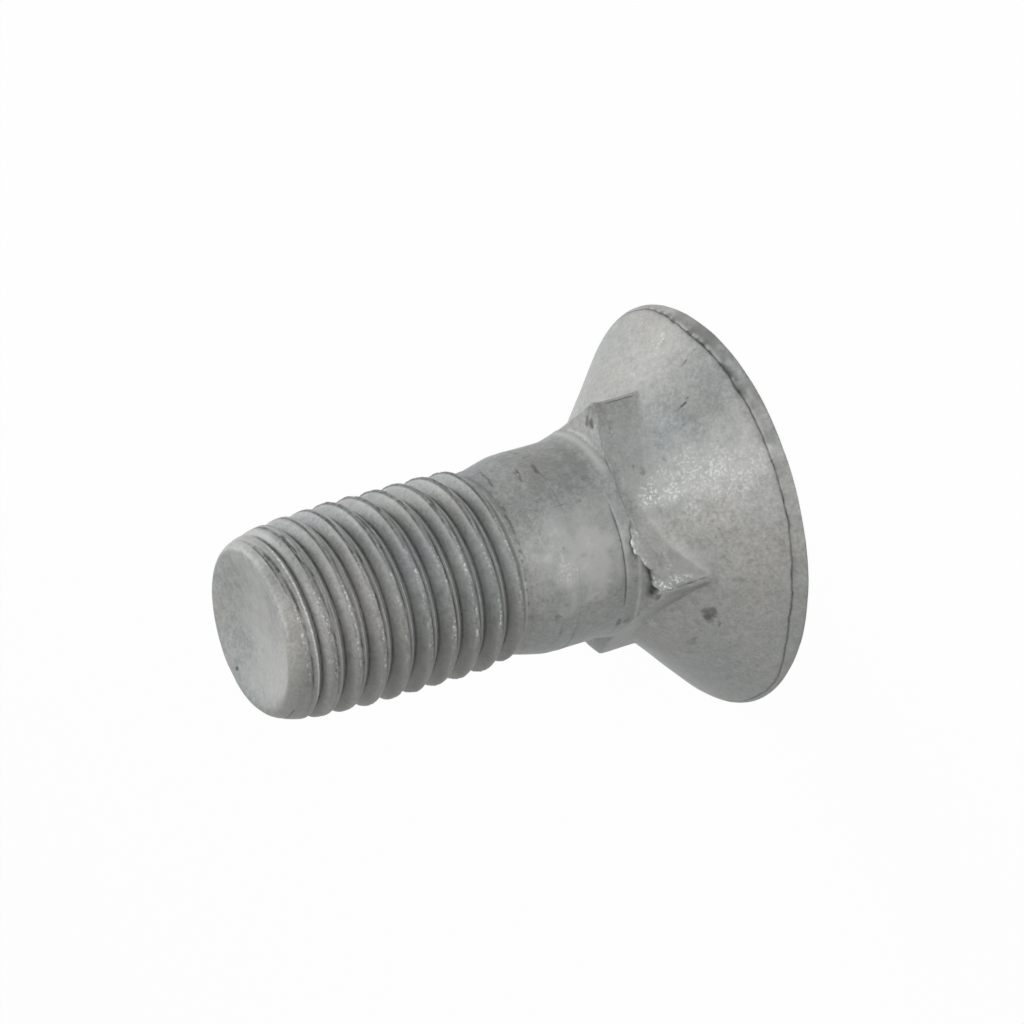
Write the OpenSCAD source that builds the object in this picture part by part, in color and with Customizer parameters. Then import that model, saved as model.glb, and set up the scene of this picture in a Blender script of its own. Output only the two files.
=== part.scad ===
// Plow bolt, metric 16 x 2, about 40 long, hot-dip galvanised.
// Millimetres. The head's flat face lies on z = 0 and the thread end points up.

/* [Overall] */
// overall length from the head's face to the thread end
overall_l = 39.8; // [30:0.2:80]

/* [Head] */
// widest diameter of the head
head_d = 32.7; // [26:0.1:40]
// whole angle of the countersink
cone_angle = 90; // [80:1:100]
// height of the band that runs round the rim
rim_h = 1.05; // [0.5:0.05:2]
// how much narrower the band is at its upper edge, on the diameter
rim_draft = 1.4; // [0.2:0.1:2.4]
// small bevel between the rim and the flat face
face_bevel = 0.15; // [0.05:0.05:0.6]
// depth of the crease between the band and the countersink
crease_d = 0.15; // [0.05:0.05:0.4]

/* [Square neck] */
// how far each flat of the square stands proud of the shank
flat_step = 0.1; // [0.05:0.05:1]
// how much the die has blunted each corner, along the diagonal
corner_blunt = 0.25; // [0.05:0.05:1]
// height above the head's face at which the neck's collar meets the shank
neck_h = 11.4; // [10.5:0.1:20]
// length of that collar
collar_l = 0.9; // [0.4:0.1:1.5]
// how far the collar's foot stands proud of the shank
collar_w = 0.3; // [0.15:0.05:0.6]
// slope of the ledges in front of the corners, from square to the axis
ledge_angle = 16; // [5:1:35]

/* [Shank] */
// plain shank diameter
shank_d = 16; // [15.8:0.1:20]
// height at which the shank starts to taper down to the thread blank
taper_h = 16.6; // [14:0.1:30]
// length of that taper
taper_l = 2.4; // [1:0.1:5]

/* [Thread] */
// thread diameter over the crests
thread_d = 15.8; // [12:0.1:16]
// thread pitch
pitch = 2; // [1.5:0.25:2.5]
// width of the crest, left between the two flanks
crest_w = 0.3; // [0.1:0.05:0.5]
// turn of the thread about the axis
thread_turn = 88; // [3:5:358]
// length over which the thread grows out of the blank
runout_l = 3.2; // [1:0.1:6]

/* [Thread end] */
// length of the rounding at the end
end_round_l = 6.5; // [2:0.1:9]
// how much narrower than the thread that rounding starts, on the diameter
end_round_step = 0.3; // [0.2:0.1:1.6]
// diameter of the cup in the end face
cup_d = 12.5; // [6:0.1:13]
// depth of the cup
cup_depth = 0.9; // [0.2:0.05:2]

/* [Finish] */
// colour of the zinc
zinc_colour = "#9fa19e";

/* [Hidden] */
head_r = head_d / 2;
band_r = head_r - rim_draft / 2;
cone_t = tan(cone_angle / 2);
shank_r = shank_d / 2;
thread_r = thread_d / 2;
// the metric profile: five eighths of its sharp height deep, rolled on a blank of the mean diameter
root_r = thread_r - 5 / 8 * pitch * cos(30);
blank_r = thread_r - pitch / 4;
neck_af = shank_d + 2 * flat_step;
cone_h = rim_h + (band_r - shank_r) / cone_t;
corner_r = neck_af / sqrt(2) - corner_blunt;
ledge_t = tan(ledge_angle);
ledge_h = neck_h - collar_l;
collar_step = 0.08;
blank_h = taper_h + taper_l;
taper_t = (shank_r - blank_r) / taper_l;
core_r = root_r - 0.6;
seg = 48;
round_n = 12;
lip_h = overall_l - 2.1;
cup_r = cup_d / 2;
round_r = (thread_d - end_round_step) / 2;
ball_r = (cup_r * cup_r + cup_depth * cup_depth) / (2 * cup_depth);

// rounding of the end: a quarter ellipse in the sine of the angle a
function roundAt(a) = [cup_r + (round_r - cup_r) * cos(a),
                       overall_l - end_round_l * (1 - sin(a))];
// radius of that rounding at the height z
function endR(z) = z <= overall_l - end_round_l ? round_r + (overall_l - end_round_l - z) * 0.15
  : cup_r + (round_r - cup_r)
    * sqrt(max(0, 1 - pow((z - overall_l + end_round_l) / end_round_l, 2)));
function ease(t) = let (u = min(1, max(0, t))) u * u * (3 - 2 * u);

// one pitch of thread from root to root: share of the pitch, share of the depth
flank = (thread_r - root_r) * tan(30) / pitch;
half_crest = crest_w / 2 / pitch;
prof = [
  [0, 0],
  [0.5 - half_crest - flank * 0.98, 0.06],
  [0.5 - half_crest - flank * 0.08, 0.93],
  [0.5 - half_crest * 0.5, 1],
  [0.5 + half_crest * 0.5, 1],
  [0.5 + half_crest + flank * 0.08, 0.93],
  [0.5 + half_crest + flank * 0.98, 0.06]
];
per = len(prof);
first_h = blank_h - 1.15 * pitch;
turns = ceil((lip_h + 0.3 - first_h) / pitch);
rows = turns * per;
// height of a point before the last turn is pressed together inside the lip
function rawH(k, m) = first_h + pitch * (floor(m / per) + prof[m % per][0] + k / seg);
function pressed(h) = h < lip_h + 0.3 ? h : lip_h + 0.3 + (h - lip_h - 0.3) * 0.1;
// radius of the blank under the thread, and of the crests as they grow
function floorR(h) = max(root_r, min(blank_r - 0.03, blank_r - (h - blank_h) * taper_t));
function crestR(h) = blank_r - 0.03 + (thread_r - blank_r + 0.03) * ease((h - blank_h) / runout_l);
function threadR(h, d) = min(endR(h) - (h > lip_h - 0.6 ? 0.14 : 0),
  max(floorR(h), root_r + (crestR(h) - root_r) * d));
function rim(h, r, k) = [r * cos(360 * k / seg), r * sin(360 * k / seg), h];

module plow_bolt() {
  color(zinc_colour) difference() {
    union() {
      blank();
      neck();
      thread();
      lip();
    }
    translate([0, 0, overall_l - cup_depth + ball_r]) rotate([90, 0, 0]) sphere(r = ball_r, $fn = 180);
  }
}

// head, countersink, shank and the taper down to the thread blank
module blank() {
  rotate_extrude($fn = 180) polygon([
    [0, 0],
    [head_r - face_bevel, 0],
    [head_r, face_bevel],
    [band_r + crease_d * 0.6, rim_h - crease_d * 0.6],
    [band_r - crease_d, rim_h - crease_d * 0.2],
    [band_r - crease_d * 0.2, rim_h + crease_d * 0.5],
    [shank_r, cone_h],
    [shank_r, taper_h],
    [blank_r, blank_h],
    [core_r, blank_h + 0.5],
    [0, blank_h + 0.5]
  ]);
}

// square neck: a square bar turned to blunt corners, its front turned to the ledges and the collar
module neck() {
  intersection() {
    translate([-neck_af / 2, -neck_af / 2, rim_h + 1]) cube([neck_af, neck_af, neck_h + 2]);
    rotate_extrude($fn = 180) polygon([
      [0, rim_h + 0.5],
      [corner_r, rim_h + 0.5],
      [corner_r, ledge_h - (corner_r - shank_r) * ledge_t],
      [shank_r - 1.5, ledge_h + 1.5 * ledge_t],
      [0, ledge_h + 1.5 * ledge_t]
    ]);
  }
  rotate_extrude($fn = 180) polygon([
    [0, ledge_h - 0.8],
    [shank_r + collar_w, ledge_h - 0.8],
    [shank_r + collar_w, ledge_h - collar_w * ledge_t],
    [shank_r + collar_step, neck_h],
    [0, neck_h]
  ]);
}

// right-hand thread, one closed body whose rows follow the helix
module thread() {
  low = seg * (rows + 1);
  high = low + seg;
  pts = concat(
    [for (k = [0:seg - 1]) for (m = [0:rows])
      let (h = rawH(k, m)) rim(pressed(h), threadR(pressed(h), prof[m % per][1]), k)],
    [for (k = [0:seg - 1]) rim(first_h - 0.6, core_r, k)],
    [for (k = [0:seg - 1]) rim(lip_h + 0.75, core_r - 0.5, k)]
  );
  n = rows + 1;
  last = seg - 1;
  faces = concat(
    [for (k = [0:seg - 2]) for (m = [0:rows - 1])
      each [[k * n + m, k * n + m + 1, (k + 1) * n + m + 1], [k * n + m, (k + 1) * n + m + 1, (k + 1) * n + m]]],
    [for (m = [0:rows - per - 1])
      each [[last * n + m, last * n + m + 1, m + per + 1], [last * n + m, m + per + 1, m + per]]],
    [for (k = [0:seg - 2])
      each [[low + k, k * n, (k + 1) * n], [low + k, (k + 1) * n, low + k + 1]]],
    [[low + last, last * n, 0], [low + last, 0, low]],
    [for (m = [0:per - 1]) [last * n, m + 1, m]],
    [for (k = [0:seg - 2])
      each [[high + k, (k + 1) * n + rows, k * n + rows], [high + k, high + k + 1, (k + 1) * n + rows]]],
    [[high + last, rows, last * n + rows], [high + last, high, rows]],
    [for (m = [rows - per:rows - 1]) [last * n + m, last * n + m + 1, rows]],
    [[for (k = [0:last]) low + k]],
    [[for (k = [0:last]) high + last - k]]
  );
  rotate([0, 0, thread_turn]) polyhedron(points = pts, faces = faces, convexity = 20);
}

// rounded lip of the thread end
module lip() {
  a0 = asin(1 - (overall_l - lip_h) / end_round_l);
  rotate_extrude($fn = 180) polygon(concat(
    [[0, lip_h - 0.35], [core_r, lip_h - 0.35]],
    [for (i = [0:round_n]) roundAt(a0 + (90 - a0) * i / round_n)],
    [[0, overall_l]]
  ));
}

plow_bolt();
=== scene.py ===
import math
from functools import reduce
import bpy
import numpy as np
from mathutils import Matrix, Vector


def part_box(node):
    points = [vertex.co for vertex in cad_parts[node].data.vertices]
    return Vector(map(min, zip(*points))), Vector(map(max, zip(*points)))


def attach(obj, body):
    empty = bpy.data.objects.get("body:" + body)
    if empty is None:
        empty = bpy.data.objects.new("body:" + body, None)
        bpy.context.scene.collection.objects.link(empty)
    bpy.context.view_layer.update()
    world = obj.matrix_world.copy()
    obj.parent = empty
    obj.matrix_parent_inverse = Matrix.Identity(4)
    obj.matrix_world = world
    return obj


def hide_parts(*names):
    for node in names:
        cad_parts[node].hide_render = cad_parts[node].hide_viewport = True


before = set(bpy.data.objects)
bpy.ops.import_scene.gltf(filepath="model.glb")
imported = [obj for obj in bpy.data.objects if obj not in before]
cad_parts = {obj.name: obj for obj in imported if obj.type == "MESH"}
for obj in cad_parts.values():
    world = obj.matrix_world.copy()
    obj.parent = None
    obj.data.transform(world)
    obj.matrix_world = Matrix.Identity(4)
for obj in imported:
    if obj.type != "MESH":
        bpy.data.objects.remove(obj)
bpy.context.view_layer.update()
nodeLow, nodeHigh = [np.array(corner) * 1000 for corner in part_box("plow_bolt")]
print("frame loaded, box in mm", nodeLow.round(2), nodeHigh.round(2))

# sizes in mm that both pieces share; angles are in degrees round the bolt, and -90 is its front
boltForm = {
    "headRadius": (nodeHigh[0] - nodeLow[0]) / 2,
    "length": nodeHigh[2],
    "shankRadius": 8.0,
    "splitHeight": 15.5,
    "columns": 424,
    "crowding": 0.5,       # 0 spreads the columns evenly, towards 1 they crowd at the corners of the square
    "waveDepth": 0.035,    # the zinc's soft waves
    "lumpDepth": 0.016,    # its small lumps
    "flatMiddle": 4.0,     # both fade towards the middle of an end, from this radius
}

# the noises on both pieces: the width of a lump in mm, and a seed each, so that every run gives the same bolt
noises = {
    "waves": (3.6, 3), "lumps": (1.3, 4),
    "rim": (2.2, 11), "rimMiddle": (0.7, 13), "rimFine": (0.3, 16), "rimFuzz": (0.5, 15),
    "burr": (0.5, 12), "burrFine": (0.22, 14), "blob": (0.45, 17),
    "markEdge": (0.9, 21), "markEdgeFine": (0.35, 22),
    "line": (0.5, 23), "lineGaps": (0.3, 33),
    "mottle": (0.8, 34), "mottleFine": (0.35, 35),
    "crest": (0.4, 41), "crestWide": (1.1, 42), "crestFine": (0.23, 43),
    "streak": (1, 44),     # its length and width are in threadForm
}
latticeCells = 48          # each noise repeats after so many lumps


# smooth step from 0 to 1: three times the square less twice the cube
def ease(t):
    t = np.clip(t, 0, 1)
    return t * t * (3 - 2 * t)


# 0 before start and 1 past end, eased between them; it falls where end is the lower one
def rise(value, start, end):
    return ease((value - start) / (end - start))


# the larger of two values, with the corner between them rounded over the width k
def softMax(a, b, k):
    return 0.5 * (a + b + np.sqrt((a - b) ** 2 + k * k))


# the smaller of two values, rounded the same way
def softMin(a, b, k):
    return -softMax(-a, -b, k)


# signed difference of two angles, wrapped to half a turn either way
def angleGap(a, b):
    return (a - b + 180) % 360 - 180


# bell curve: e to the minus square of the gap over the width
def bell(gap, width):
    return np.exp(-(gap / width) ** 2)


# 1 between two angles and 0 outside them, eased over soft degrees at each end
def between(beta, low, high, soft):
    middle, half = (low + high) / 2, (high - low) / 2
    return ease((half - np.abs(angleGap(beta, middle))) / soft + 0.5)


# value noise from -1 to 1: random values on a cubic lattice, blended between its corners by the smooth step
def latticeNoise(place, name):
    size, seed = noises[name]
    values = np.random.default_rng(seed).random((latticeCells,) * 3) * 2 - 1
    cell = np.floor(place / size).astype(int)
    part = ease(place / size - cell)
    total = 0
    for corner in np.ndindex(2, 2, 2):
        share = np.prod(np.where(corner, part, 1 - part), axis=-1)
        i, j, k = ((cell[..., n] + corner[n]) % latticeCells for n in range(3))
        total = total + share * values[i, j, k]
    return total


# angles of the columns: even steps and a sine of four times the turn, so that they crowd at the corners
# of the square
def columnAngles():
    turn = np.arange(boltForm["columns"] + 1) / boltForm["columns"]
    return 360 * (turn + boltForm["crowding"] * np.sin(8 * math.pi * turn) / (8 * math.pi))


# points in mm from radius, height and angle
def placeOf(radius, height, beta):
    angle = np.radians(beta)
    return np.stack([radius * np.cos(angle), radius * np.sin(angle), height + 0 * angle], axis=-1)


# and back: angle from -180 to 180, height and radius of points
def angleHeightRadius(place):
    x, y, z = place[..., 0], place[..., 1], place[..., 2]
    return np.degrees(np.arctan2(y, x)), z, np.hypot(x, y)


# rows of a profile from knot to knot, each stretch cut into its own number of equal steps
def runThrough(knots, steps):
    rows = [a + (b - a) * (np.arange(n)[:, None, None] / n) for a, b, n in zip(knots[:-1], knots[1:], steps)]
    return np.concatenate(rows + [knots[-1][None]])


# each row moved half way to the mean of its neighbours, as many times as asked
def roundOver(rows, passes):
    for _ in range(passes):
        rows[1:-1] = (rows[:-2] + 2 * rows[1:-1] + rows[2:]) / 4
    return rows


# zinc waves and lumps as a height over the bare form: two sizes of value noise added
def zincHeight(place):
    return (latticeNoise(place, "waves") * boltForm["waveDepth"]
            + latticeNoise(place, "lumps") * boltForm["lumpDepth"])


# marks on the zinc: angle, height, half width round the bolt and half height along its axis in mm, strength
marks = {
    # dark stains; the thin ones along the square's corners, at -46.1 and -134 degrees, are painted shade
    # there
    "stain": [
        (-153, 5.5, 0.75, 0.50, 0.75), (-157.5, 4.85, 0.40, 0.16, 0.6), (-173, 5.75, 0.95, 0.32, 0.40),
        (-135, 4.1, 0.45, 0.40, 0.35), (-115, 4.95, 0.20, 0.18, 0.5), (-113, 5.5, 0.14, 0.15, 0.4),
        (-126, 4.9, 0.28, 0.28, 0.35), (-66.8, 4.45, 0.10, 0.30, 0.9), (-66.2, 4.1, 0.10, 0.30, 1.0),
        (-65.5, 3.7, 0.10, 0.30, 0.9), (-54, 2.5, 0.10, 0.30, 0.7), (-53.6, 1.9, 0.10, 0.35, 0.55),
        (-83.2, 3.95, 0.06, 0.07, 0.55), (-84.4, 3.9, 0.06, 0.08, 0.55), (-85, 3.5, 0.06, 0.08, 0.5),
        (-75.5, 3.1, 0.30, 0.12, 0.4), (-81, 2.2, 0.16, 0.10, 0.5), (-73, 4.65, 0.12, 0.30, 0.5),
        (-33, 3.4, 0.35, 0.15, 0.4), (-33, 3.0, 0.25, 0.12, 0.3), (-87, 2.9, 0.2, 0.1, 0.4),
        (-106, 6.4, 0.5, 0.12, 0.35), (-80.5, 6.65, 0.35, 0.14, 0.45), (-79, 8.1, 0.6, 0.35, 0.35),
        (-123, 2.4, 0.3, 0.3, 0.25), (-189, 6.4, 0.5, 0.4, 0.3), (-148, 17.4, 0.35, 0.20, 0.5),
        (-160, 16.8, 1.10, 0.14, 0.45), (-168, 11.4, 0.70, 0.20, 0.55), (-165, 10.75, 0.50, 0.28, 0.55),
        (-107, 16.45, 0.12, 0.15, 0.7), (-79.5, 17.4, 0.30, 0.18, 0.6), (-55.5, 15.6, 0.75, 0.24, 0.65),
        (-65, 15.4, 0.30, 0.15, 0.4), (-33.5, 15.4, 0.30, 0.25, 0.45), (-140, 14.0, 0.20, 0.45, 0.35),
        (-66, 13.7, 0.16, 0.28, 0.35), (-53, 17.2, 0.35, 0.10, 0.5), (-47.5, 9.9, 0.45, 0.13, 0.85),
        (-45, 9.95, 0.40, 0.13, 0.75), (-57.5, 9.2, 0.42, 0.08, 0.9), (-54.6, 8.98, 0.20, 0.10, 0.8),
        (-77, 8.6, 0.45, 0.14, 0.45), (-115, 8.9, 0.15, 0.25, 0.35), (-172, 9.1, 0.55, 0.28, 0.35),
        (-97, 9.6, 0.3, 0.3, 0.25), (-139, 10.0, 0.5, 0.14, 0.8), (-134.4, 8.7, 0.10, 1.4, 0.6),
        (-134.2, 6.4, 0.07, 0.6, 0.5), (-46.1, 7.3, 0.06, 1.7, 0.75), (103, 39.61, 0.3, 0.04, 1.0),
    ],
    # painted shade: darker patches on the shank, the neck, the flats beside the corners and the cone
    "paintedShade": [
        (-56, 14.4, 2.9, 2.8, 0.40), (-150, 9.3, 1.3, 0.6, 0.35), (-46, 9.4, 0.7, 0.5, 0.4),
        (-48, 12.3, 2.4, 0.7, 0.35), (-35, 16.6, 1.0, 0.5, 0.3), (-80, 19.0, 1.5, 1.2, 0.2),
        (-70, 3.0, 1.8, 1.5, 0.2), (-138.5, 8.0, 0.5, 2.2, 0.7), (-146, 7.6, 0.9, 1.9, 0.35),
        (-160, 15.0, 2.0, 3.0, 0.15), (-128, 10.05, 0.8, 0.25, 0.6),
    ],
    "lump": [
        (-134, 9.6, 0.7, 0.7, 1.0), (-133.5, 8.2, 0.4, 1.0, 0.8), (-47, 9.6, 0.8, 0.5, 0.8),
        (-108.5, 10.4, 0.3, 0.2, 0.8),
    ],
    # painted light: lighter patches on the shank, the cone, the neck and the end, and thin lines along two
    # corners
    "paintedLight": [
        (-119, 14.2, 2.4, 3.0, 0.55), (-96, 5.0, 1.2, 4.5, 0.35), (-38, 3.0, 2.6, 3.0, 0.3),
        (-120, 18.2, 1.5, 0.9, 0.2), (-97, 7.8, 0.9, 1.0, 0.3), (-90, 4.0, 2.4, 3.0, 0.3),
        (-84, 7.2, 2.2, 1.6, 0.3), (-117, 14.7, 3.2, 3.2, 0.85), (-98, 14.7, 2.2, 3.0, 0.45),
        (-98, 9.1, 4.2, 0.9, 0.4), (-128, 7.5, 1.5, 2.0, 0.4), (-44.7, 7.6, 0.06, 1.9, 0.6),
        (-60, 8.0, 1.5, 1.5, 0.25), (-133.3, 6.4, 0.07, 0.7, 0.7), (-35, 38.3, 4.0, 1.2, 0.5),
    ],
    # painted glints: bright specks where the cone, the shank, the burr and the corners catch the lamps
    "paintedGlint": [
        (-94, 8.1, 0.9, 0.8, 0.9), (-96, 7.1, 0.7, 0.6, 0.75), (-88, 8.5, 0.8, 0.2, 0.6),
        (-86, 6.9, 0.7, 0.5, 0.3), (-95, 4.6, 1.6, 1.3, 0.42), (-99, 3.2, 2.0, 1.4, 0.36),
        (-97, 1.8, 2.2, 0.7, 0.25), (-91, 5.6, 1.6, 1.2, 0.4), (-105, 6.2, 1.0, 0.6, 0.3),
        (-111, 4.6, 0.8, 0.9, 0.25), (-40.5, 3.1, 0.08, 0.35, 0.9), (-39, 2.5, 0.08, 0.40, 0.9),
        (-37.5, 1.95, 0.25, 0.10, 0.8), (-36, 4.65, 0.40, 0.10, 0.7), (-58, 9.0, 0.4, 0.3, 0.2),
        (-120, 16.7, 1.3, 0.7, 0.4), (-119, 15.4, 0.8, 0.8, 0.3), (-108, 14.4, 0.6, 0.6, 0.2),
        (-104, 9.2, 0.8, 0.8, 0.2), (-108.5, 10.4, 0.2, 0.14, 0.9), (-113, 11.62, 0.8, 0.06, 0.7),
        (-133, 9.4, 0.4, 0.7, 0.9), (-132, 8.2, 0.25, 0.8, 0.7), (-175, 8.2, 0.5, 0.3, 0.25),
        (-133, 13.5, 0.3, 1.4, 0.15), (-84, 18.0, 0.8, 0.5, 0.2), (-125, 9.0, 0.6, 0.3, 0.3),
    ],
}

# a mark's edge, in its half widths: it starts at outer and is full at inner, and noise pushes it about
markEdge = {"outer": 1.5, "inner": 0.4, "ragged": 0.45, "fine": 0.5, "fineLight": 0.15}


# strength of one kind of mark: for each mark 1 inside its ellipse and 0 outside, with a ragged edge
def markedBy(kind, place):
    beta, z, radius = angleHeightRadius(place)
    fine = markEdge["fineLight"] if kind == "paintedLight" else markEdge["fine"]
    ragged = markEdge["ragged"] * latticeNoise(place, "markEdge") + fine * latticeNoise(place, "markEdgeFine")
    total = np.zeros(beta.shape)
    for angle, height, wide, tall, strength in marks[kind]:
        across = np.radians(angleGap(beta, angle)) * radius / wide
        away = np.sqrt(across ** 2 + ((z - height) / tall) ** 2) + ragged
        total = np.maximum(total, strength * rise(away, markEdge["outer"], markEdge["inner"]))
    return total


# thin lines round the bolt: strength, width and raggedness in mm, and the angles and heights of their corners
lines = {
    "patchTop": (0.75, 0.11, 0.10, [(-82, 16.4), (-77, 17.1), (-70, 17.25), (-60, 17.15), (-48, 16.85)]),
    "runout": (0.65, 0.12, 0.12, [
        (-150, 19.85), (-120, 19.75), (-86, 19.75), (-66, 19.5), (-45, 19.1), (-30, 18.9)]),
    "flatTop": (0.55, 0.05, 0.05, [(-88, 11.5), (-80, 10.95), (-75, 10.5), (-60, 10.15), (-48, 9.7)]),
    # the line at the collar's foot is painted light
    "collarFoot": (0.60, 0.09, 0.03, [(-164, 10.33), (-96, 10.33)]),
}
lineFade = 4               # degrees over which a line fades in and out


# strength of a line: bell curve of the distance from heights joined up by straight steps over the angle
def lineAlong(place, name):
    strength, width, ragged, corners = lines[name]
    beta, z, _ = angleHeightRadius(place)
    angles, heights = np.array(corners).T
    line = np.interp(beta, angles, heights) + ragged * latticeNoise(place, "line")
    ends = rise(beta, angles[0], angles[0] + lineFade) * rise(beta, angles[-1], angles[-1] - lineFade)
    return strength * bell(z - line, width) * ends


# painted zones: strength, the span of angles and its softness, the height and width of a band, the heights
# and radii at which the zone starts and is full, and the height and radius below which it stops short
zones = {
    "patchSide": {"strength": 0.6, "heights": [(12.6, 13.4), (17.3, 16.8)]},
    "faceEdge": {"strength": 0.45, "span": (-150, -72, 12), "band": (0.12, 0.09), "radii": [(15, 15.5)]},
    # painted light on the collar's fillet and along its foot
    "collarLight": {"strength": 0.9, "span": (-72, -12, 20), "band": (10.85, 0.30), "radii": [(9.2, 8.6)]},
    "collarFoot": {"strength": 1.0, "radii": [(8.6, 8.4)]},
    # painted shade on the rim's band, part of it broken up by mottling
    "rimEnd": {"strength": 0.6, "span": (-57, -35, 12), "heights": [(0.15, 0.30), (1.0, 0.8)]},
    "rimMottledShade": {"strength": 0.6, "span": (-100, -35, 30), "heights": [(0.15, 0.30), (1.0, 0.8)]},
    # painted shade on the cup's upper side and painted light on its lower side
    "cupShade": {"strength": 0.40, "span": (-100, 35, 70), "radii": [(6.1, 4.8)], "above": 38},
    "cupLight": {"strength": 0.5, "span": (-250, -135, 60), "radii": [(6.1, 4.8)], "above": 38},
    # painted shade under the bolt
    "underside": {"strength": 0.36, "span": (-222, -134, 44), "above": 0.1, "outside": 6.1},
    "underThread": {"strength": 0.2, "span": (-222, -134, 44), "above": 19.5, "outside": 6.1},
}
# the upright side of the pale patch: angle and width in degrees, and how far it bends from its middle height
patchBow = {"angle": -84.3, "width": 0.9, "middle": 14.6, "bend": 0.175}


# strength of a zone: the product of the parts that it has
def zoneOf(place, name):
    zone = zones[name]
    beta, z, radius = angleHeightRadius(place)
    total = zone["strength"] * (z > zone.get("above", -1)) * (radius > zone.get("outside", -1))
    if "span" in zone:
        total = total * between(beta, *zone["span"])
    if "band" in zone:
        total = total * bell(z - zone["band"][0], zone["band"][1])
    for value, limits in [(z, zone.get("heights", [])), (radius, zone.get("radii", []))]:
        for start, full in limits:
            total = total * rise(value, start, full)
    return total


# the painted values of a piece, the largest of its marks, lines and zones, and of the piece's own painted
# shade in grooves, painted highlights, painted light and dark spots
def paintedValues(place, grooveShade, glint, light, spots):
    beta, z, _ = angleHeightRadius(place)
    bow = patchBow["angle"] + patchBow["bend"] * (z - patchBow["middle"]) ** 2
    patchSide = zoneOf(place, "patchSide") * bell(angleGap(beta, bow), patchBow["width"])
    broken = rise(latticeNoise(place, "lineGaps"), -0.25, 0.25)
    edges = (patchSide + lineAlong(place, "patchTop") + lineAlong(place, "runout")) * broken
    mottled = ease(0.5 + latticeNoise(place, "mottle") + 0.6 * latticeNoise(place, "mottleFine"))
    # painted shade on the rim's band and under the bolt, and painted light on the collar
    rim = zoneOf(place, "rimEnd") + zoneOf(place, "rimMottledShade") * mottled
    under = zoneOf(place, "underside") + zoneOf(place, "underThread")
    collarFoot = lineAlong(place, "collarFoot") * zoneOf(place, "collarFoot")
    collar = np.maximum(zoneOf(place, "collarLight"), collarFoot)
    parts = {
        "grooveShade": [grooveShade],
        "stain": [
            markedBy("stain", place), edges, spots, lineAlong(place, "flatTop"), zoneOf(place, "faceEdge")],
        "paintedShade": [markedBy("paintedShade", place), zoneOf(place, "cupShade"), under, rim],
        "paintedLight": [markedBy("paintedLight", place), collar, zoneOf(place, "cupLight"), light],
        "paintedHighlight": [markedBy("paintedGlint", place), glint],
    }
    return {label: np.clip(reduce(np.maximum, several), 0, 1) for label, several in parts.items()}


# a table of vertex numbers with a single vertex before its first row and another past its last, as poles
def withPoles(first, rows, last):
    return np.pad(rows, ((1, 1), (0, 0)), constant_values=((first, last), (0, 0)))


# a closed mesh from a table of vertex numbers: neighbours make quads, and merged corners make triangles
def meshFromTable(name, points, table, mapV, values):
    rowCount, columnCount = table.shape
    mapU = np.broadcast_to(np.arange(columnCount) / (columnCount - 1), table.shape)
    mapV = np.broadcast_to(mapV, table.shape)
    i, j = np.indices((rowCount - 1, columnCount - 1)).reshape(2, -1)
    rowOf = np.stack([i, i, i + 1, i + 1], axis=1)
    colOf = np.stack([j, j + 1, j + 1, j], axis=1)
    ids = table[rowOf, colOf]
    kept = ids != np.roll(ids, 1, axis=1)
    count = kept.sum(axis=1)
    whole = count >= 3
    ids, rowOf, colOf, kept, count = [part[whole] for part in (ids, rowOf, colOf, kept, count)]
    starts = np.concatenate([[0], np.cumsum(count)[:-1]])
    mesh = bpy.data.meshes.new(name)
    mesh.vertices.add(len(points))
    mesh.vertices.foreach_set("co", (points / 1000).ravel())
    mesh.loops.add(int(count.sum()))
    mesh.loops.foreach_set("vertex_index", ids[kept].astype(np.int32))
    mesh.polygons.add(len(count))
    mesh.polygons.foreach_set("loop_start", starts.astype(np.int32))
    mesh.polygons.foreach_set("use_smooth", np.ones(len(count), dtype=bool))
    mesh.update(calc_edges=True)
    layer = mesh.uv_layers.new(name="OFBake")
    uv = np.stack([mapU[rowOf, colOf], mapV[rowOf, colOf]], axis=-1)[kept]
    layer.data.foreach_set("uv", uv.ravel())
    for label, value in values.items():
        mesh.attributes.new(label, "FLOAT", "POINT").data.foreach_set("value", value.astype(np.float32))
    mesh.validate(clean_customdata=False)
    piece = bpy.data.objects.new(name, mesh)
    bpy.context.collection.objects.link(piece)
    return piece


# the ring where a piece is cut through gets hard edges, so that the cut doesn't show on the side
def hardRing(piece, height):
    mesh = piece.data
    place = np.zeros(len(mesh.vertices) * 3)
    mesh.vertices.foreach_get("co", place)
    _, z, radius = angleHeightRadius(place.reshape(-1, 3) * 1000)
    onRing = (np.abs(z - height) < 1e-4) & (radius > 1)
    pairs = np.zeros(len(mesh.edges) * 2, dtype=np.int32)
    mesh.edges.foreach_get("vertices", pairs)
    sharp = onRing[pairs.reshape(-1, 2)].all(axis=1)
    mesh.attributes.new("sharp_edge", "BOOLEAN", "EDGE").data.foreach_set("value", sharp)


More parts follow.
